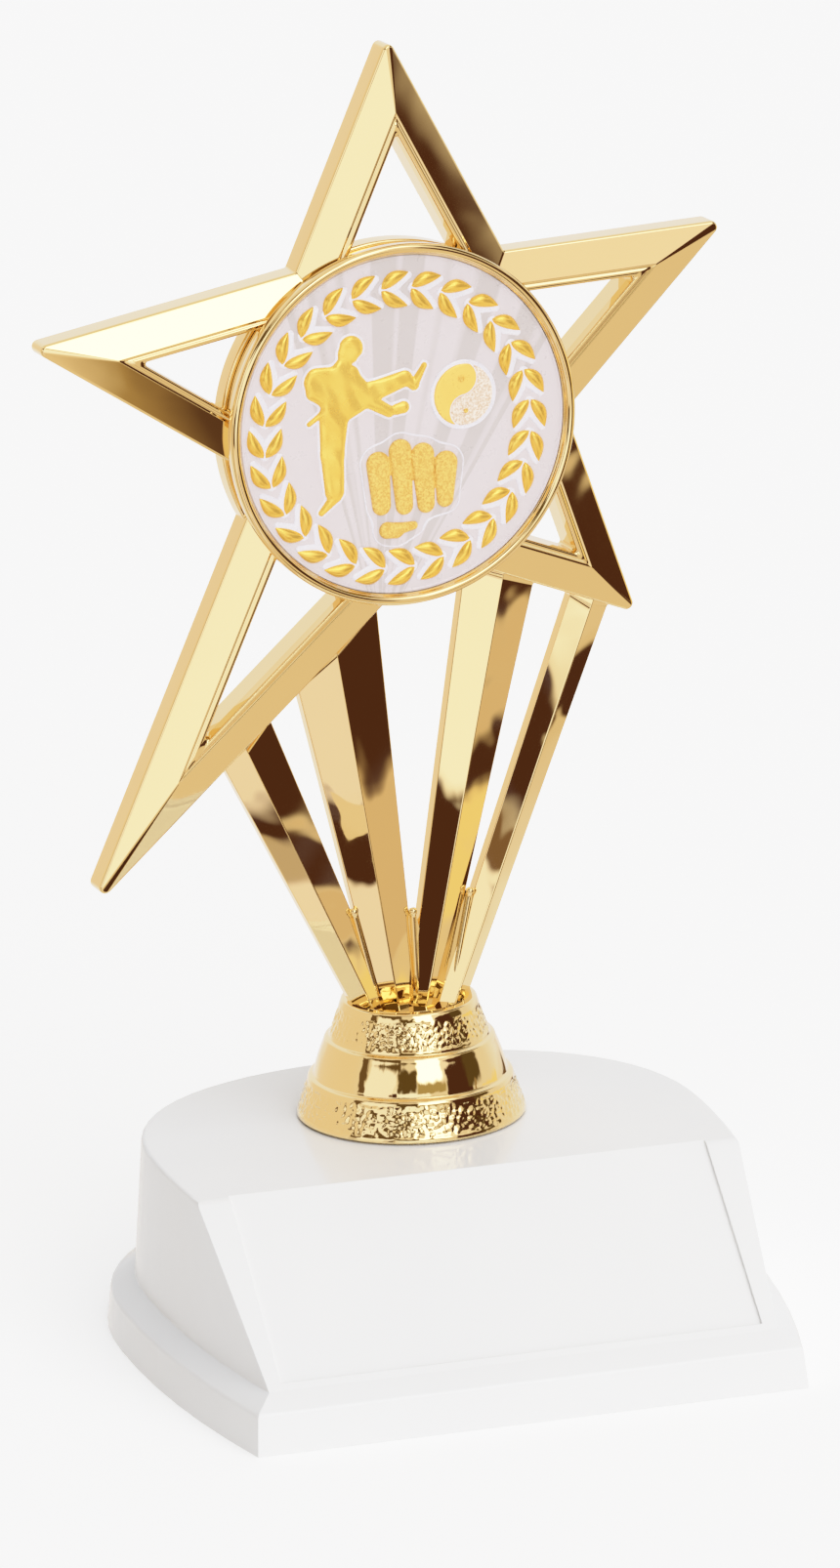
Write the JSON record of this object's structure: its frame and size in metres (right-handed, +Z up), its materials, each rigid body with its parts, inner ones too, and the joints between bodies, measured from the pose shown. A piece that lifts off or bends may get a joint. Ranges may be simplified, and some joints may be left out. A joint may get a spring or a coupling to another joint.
{
  "type": "star trophy",
  "caption": "Gold star trophy with a round martial-arts medallion on a fan of ribs, clamped to a glossy white slanted plastic base.",
  "frame": {"origin": "under the middle of the overall box, on the plane the base stands on", "axes": "+Z up, -Y towards the slanted front, +X to the right as seen from the front"},
  "size_m": [0.1092, 0.0966, 0.197],
  "materials": {
    "white_plastic": "gloss",
    "gold": "plastic, vacuum-metallised to a gold mirror",
    "emblem": "embossed and foil printed",
    "zinc_steel": "zinc plated",
    "brass": "machined",
    "foam_tape": "matt foam"
  },
  "bodies": {
    "base": {"base_shell": "white_plastic", "clamp_screw": "zinc_steel", "screw_washer": "zinc_steel"},
    "riser": {"stem_bell": "gold", "threaded_insert": "brass", "star_riser": "gold", "holder_cup": "gold", "bezel_ring": "gold", "adhesive_pad": "foam_tape", "emblem_disc": "emblem"}
  },
  "joints": [
    {"name": "riser_turn", "type": "hinge", "parent": "base", "child": "riser", "pos_m": [0.00193, 0.0139, 0.0298], "axis": [0, 0, 1], "range_deg": [-180, 180]}
  ]
}
